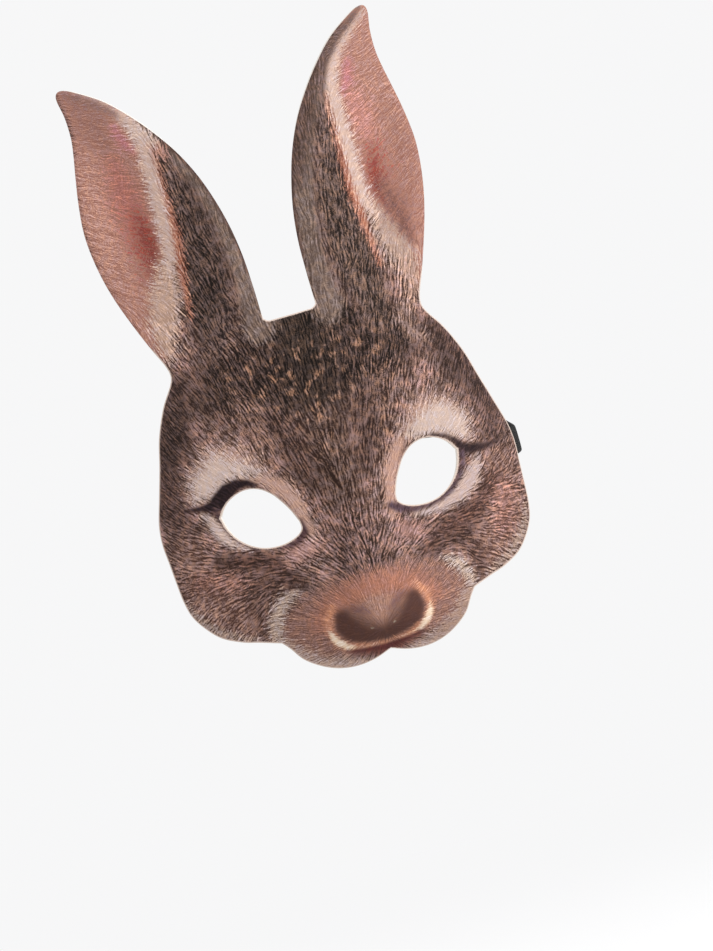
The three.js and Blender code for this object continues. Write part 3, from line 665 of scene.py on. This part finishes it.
# The tips are tinted warmer and cooler in spots, as the inks of a print are, and the brightest shine
WARM_TINT, COOL_TINT = (1.06, 1.0, 0.94, 1), (0.93, 0.97, 1.09, 1)
cooler = ramp(tree, noise(tree, cloth_place, 2.6, 1).outputs[0], 0.38, 0.62)
tint = blend(tree, cooler, WARM_TINT, COOL_TINT)
tinted = put(tree, "ShaderNodeVectorMath", {0: tip_colour, 1: tint}, operation="MULTIPLY").outputs[0]
shining = put(tree, "ShaderNodeVectorMath", {0: tinted, "Scale": bright_tips}, operation="SCALE").outputs[0]
print_colour = blend(tree, tip_share, root_colour, shining)

# Along the cut the cloth frays, and its pale threads show
fray = noise(tree, cloth_place, 0.6, 1).outputs[0]
frayed = reckon(tree, "MULTIPLY_ADD", fray, 0.5, field(tree, "from_edge").outputs["Fac"])
edge_of_cloth = ramp(tree, frayed, 0.6, 0.95)
tree.links.new(blend(tree, edge_of_cloth, paint("#c0aea3"), print_colour), shader.inputs["Base Color"])
shader.inputs["Roughness"].default_value = 0.85
shader.inputs["Specular IOR Level"].default_value = 0.12
knit = noise(tree, cloth_place, 0.5, 2).outputs[0]
bump = put(tree, "ShaderNodeBump", {"Strength": 0.25, "Distance": 0.0003, "Height": knit})
tree.links.new(bump.outputs[0], shader.inputs["Normal"])

cut_foam, tree, shader = finish("cut_edge")
place = put(tree, "ShaderNodeTexCoord", {}).outputs["Object"]
pores = put(tree, "ShaderNodeTexNoise", {"Vector": place, "Scale": 2500.0, "Detail": 2.0}).outputs[0]
tree.links.new(blend(tree, pores, paint("#cfc6bd"), paint("#ece6df")), shader.inputs["Base Color"])
shader.inputs["Roughness"].default_value = 0.9

foam, tree, shader = finish("foam")
place = put(tree, "ShaderNodeTexCoord", {}).outputs["Object"]
pores = put(tree, "ShaderNodeTexVoronoi", {"Vector": place, "Scale": 1600.0}).outputs["Distance"]
clouds = put(tree, "ShaderNodeTexNoise", {"Vector": place, "Scale": 40.0, "Detail": 3.0}).outputs[0]
foam_colour = blend(tree, ramp(tree, clouds, 0.35, 0.65), paint("#e1dcd5"), paint("#e9e5df"))
tree.links.new(foam_colour, shader.inputs["Base Color"])
shader.inputs["Roughness"].default_value = 0.88
bump = put(tree, "ShaderNodeBump", {"Strength": 0.4, "Distance": 0.0002, "Height": pores})
tree.links.new(bump.outputs[0], shader.inputs["Normal"])

# The pressed edge rolls back a little over its last millimetres
ROLL, ROLL_WIDTH = 0.45, 1.6
rolled = ROLL * (1 - ease(0, ROLL_WIDTH, from_edge)) ** 2
front = on_sheet(x, z, rolled)
back = on_sheet(x, z, np.full_like(x, SHEET))
shell = solid("mask_front", front, back, triangles, (fur, cut_foam, foam), fields)
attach(shell, "root")
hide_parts("mask_shell")


# The elastic band. Flat black elastic, woven with fine ribs along it, 10 mm wide. It lies flat on the back
# of the mask at each end, leaves its edge beside the eyes and goes round behind in one rising loop.
BAND_WIDTH, BAND_THICKNESS, BAND_HEIGHT, BAND_CLIMB, BAND_INSET = 10, 1.2, 0, 20, 16
HEAD_HALF, HEAD_LENGTH, HEAD_OFFSET, SEAT_GAP = 73.5, 190, 3.5, 0.3


def band_line(points, step):
    """An even row of points, a step apart, on the smooth curve through the given ones whose pace between
    two of them is the root of their distance, so that it doesn't overshoot at a short stretch."""
    p = np.vstack((2 * points[0] - points[1], points, 2 * points[-1] - points[-2]))
    a, b, c, d = p[:-3], p[1:-2], p[2:-1], p[3:]
    before, here, beyond = (np.sqrt(np.linalg.norm(e, axis=1, keepdims=True)) for e in (b - a, c - b, d - c))
    first = here * ((b - a) / before - (c - a) / (before + here) + (c - b) / here)
    last = here * ((c - b) / here - (d - b) / (here + beyond) + (d - c) / beyond)
    t = np.linspace(0, 1, 40, endpoint=False)[None, :, None]
    b, c, first, last = (e[:, None] for e in (b, c, first, last))
    curve = b + first * t + (3 * (c - b) - 2 * first - last) * t**2 + (2 * (b - c) + first + last) * t**3
    curve = np.vstack((curve.reshape(-1, 3), points[-1]))
    run = np.concatenate(([0], np.cumsum(np.linalg.norm(np.diff(curve, axis=0), axis=1))))
    even = np.linspace(0, run[-1], int(np.ceil(run[-1] / step)) + 1)
    return np.column_stack([np.interp(even, run, curve[:, i]) for i in range(3)]), even


glued = CHEEK_HALF - BAND_INSET * np.array((1, 0.75, 0.5, 0.25, 0.06))
glued = on_sheet(glued, np.full_like(glued, BAND_HEIGHT), SHEET + SEAT_GAP + BAND_THICKNESS / 2)
free_turn = np.radians((-22, -5, 15, 30, 45, 60, 75, 90))
free_y = HEAD_LENGTH / 2 * (1 + np.sin(free_turn))
free_x = HEAD_HALF * np.where(free_turn < 0, 1 - 0.06 * np.sin(free_turn) ** 2, np.cos(free_turn))
free_z = BAND_HEIGHT + BAND_CLIMB * ((free_y - glued[-1, 1]) / (HEAD_LENGTH - glued[-1, 1])) ** 1.5
right_half = np.vstack((glued, np.column_stack((free_x, free_y, free_z))))
loop = np.vstack((right_half, right_half[-2::-1] * (-1, 1, 1)))
loop[:, 0] += HEAD_OFFSET * ease(glued[-1, 1], HEAD_LENGTH / 2 * 0.65, loop[:, 1])
line, run = band_line(loop, 0.8)

# Its section: two flat sides and two round edges, carried along the line and kept upright
turn = np.linspace(0, 2 * np.pi, 33)[:-1]
section_out = BAND_THICKNESS / 2 * np.sign(np.cos(turn)) * np.abs(np.cos(turn)) ** 0.3
section_up = BAND_WIDTH / 2 * np.sign(np.sin(turn)) * np.abs(np.sin(turn)) ** 0.8
along = np.gradient(line, axis=0)
outward = np.column_stack((-along[:, 1], along[:, 0]))
outward /= np.linalg.norm(outward, axis=1, keepdims=True)
tube = np.zeros((len(line), len(turn), 3))
tube[..., :2] = line[:, None, :2] + outward[:, None] * section_out[None, :, None]
tube[..., 2] = line[:, None, 2] + section_up
index = np.arange(tube[..., 0].size).reshape(tube.shape[:2])
after = np.roll(index, -1, 1)
quads = np.stack((index[:-1], index[1:], after[1:], after[:-1]), -1).reshape(-1, 4)
band_mesh = bpy.data.meshes.new("head_band")
caps = [index[0].tolist(), index[-1, ::-1].tolist()]
band_mesh.from_pydata((tube.reshape(-1, 3) / 1000).tolist(), [], quads.tolist() + caps)
band_mesh.shade_smooth()
band_mesh.set_sharp_from_angle(angle=0.9)
weave_place = np.stack(np.broadcast_arrays(run[:, None], section_up[None, :], 0.0 * index), -1)
weave = band_mesh.attributes.new("weave", "FLOAT_VECTOR", "POINT").data
weave.foreach_set("vector", weave_place.astype(np.float32).ravel())

RIB, PICK = 0.9, 0.7
elastic, tree, shader = finish("black_elastic")
woven = put(tree, "ShaderNodeSeparateXYZ", {0: field(tree, "weave").outputs["Vector"]})
ribs = reckon(tree, "SINE", reckon(tree, "MULTIPLY", woven.outputs["Y"], 2 * np.pi / RIB))
picks = reckon(tree, "SINE", reckon(tree, "MULTIPLY", woven.outputs["X"], 2 * np.pi / PICK))
cross = reckon(tree, "MULTIPLY", ribs, picks)
height = reckon(tree, "MULTIPLY_ADD", cross, 0.35, reckon(tree, "MULTIPLY", ribs, 0.5))
thread_light = ramp(tree, height, -0.7, 0.8)
tree.links.new(blend(tree, thread_light, paint("#060606"), paint("#191819")), shader.inputs["Base Color"])
shader.inputs["Roughness"].default_value = 0.85
shader.inputs["Specular IOR Level"].default_value = 0.2
bump = put(tree, "ShaderNodeBump", {"Strength": 0.8, "Distance": 0.0002, "Height": height})
tree.links.new(bump.outputs[0], shader.inputs["Normal"])
band_mesh.materials.append(elastic)
band = bpy.data.objects.new("head_band", band_mesh)
bpy.context.collection.objects.link(band)
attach(band, "root")
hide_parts("elastic_band")


# The tabs over the band's ends. A small patch of the same foam, glued to the back of the mask over each end
# of the band. It rises over the band in the middle, and its edges are pressed down.
TAB_LENGTH, TAB_MARGIN, TAB_THICKNESS, TAB_INSET = 15, 5, 1.5, 4.5
u, v = np.meshgrid(np.linspace(-1, 1, 49), np.linspace(-1, 1, 65), indexing="ij")
tab_out = CHEEK_HALF - TAB_INSET - TAB_LENGTH / 2 + TAB_LENGTH / 2 * u * (1 - 0.1 * v**8)
tab_up = (BAND_WIDTH / 2 + TAB_MARGIN) * v * (1 - 0.07 * u**8)
shoulder = BAND_WIDTH / 2 + 0.6
over_band = 1 - ease(shoulder, shoulder + 2, np.abs(tab_up))
seat = SHEET + SEAT_GAP + over_band * (BAND_THICKNESS + SEAT_GAP)
thick = TAB_THICKNESS * (1 - 0.35 * np.maximum(np.abs(u), np.abs(v)) ** 14)
index = np.arange(u.size).reshape(u.shape)
tab_faces = np.stack((index[:-1, :-1], index[1:, :-1], index[1:, 1:], index[:-1, 1:]), -1).reshape(-1, 4)
for name, side in (("band_tab_right", 1), ("band_tab_left", -1)):
    under = on_sheet(side * tab_out, tab_up + BAND_HEIGHT, seat).reshape(-1, 3)
    over = on_sheet(side * tab_out, tab_up + BAND_HEIGHT, seat + thick).reshape(-1, 3)
    tab = solid(name + "_foam", under, over, tab_faces[:, ::side], (foam, cut_foam, foam))
    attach(tab, "root")
    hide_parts(name)
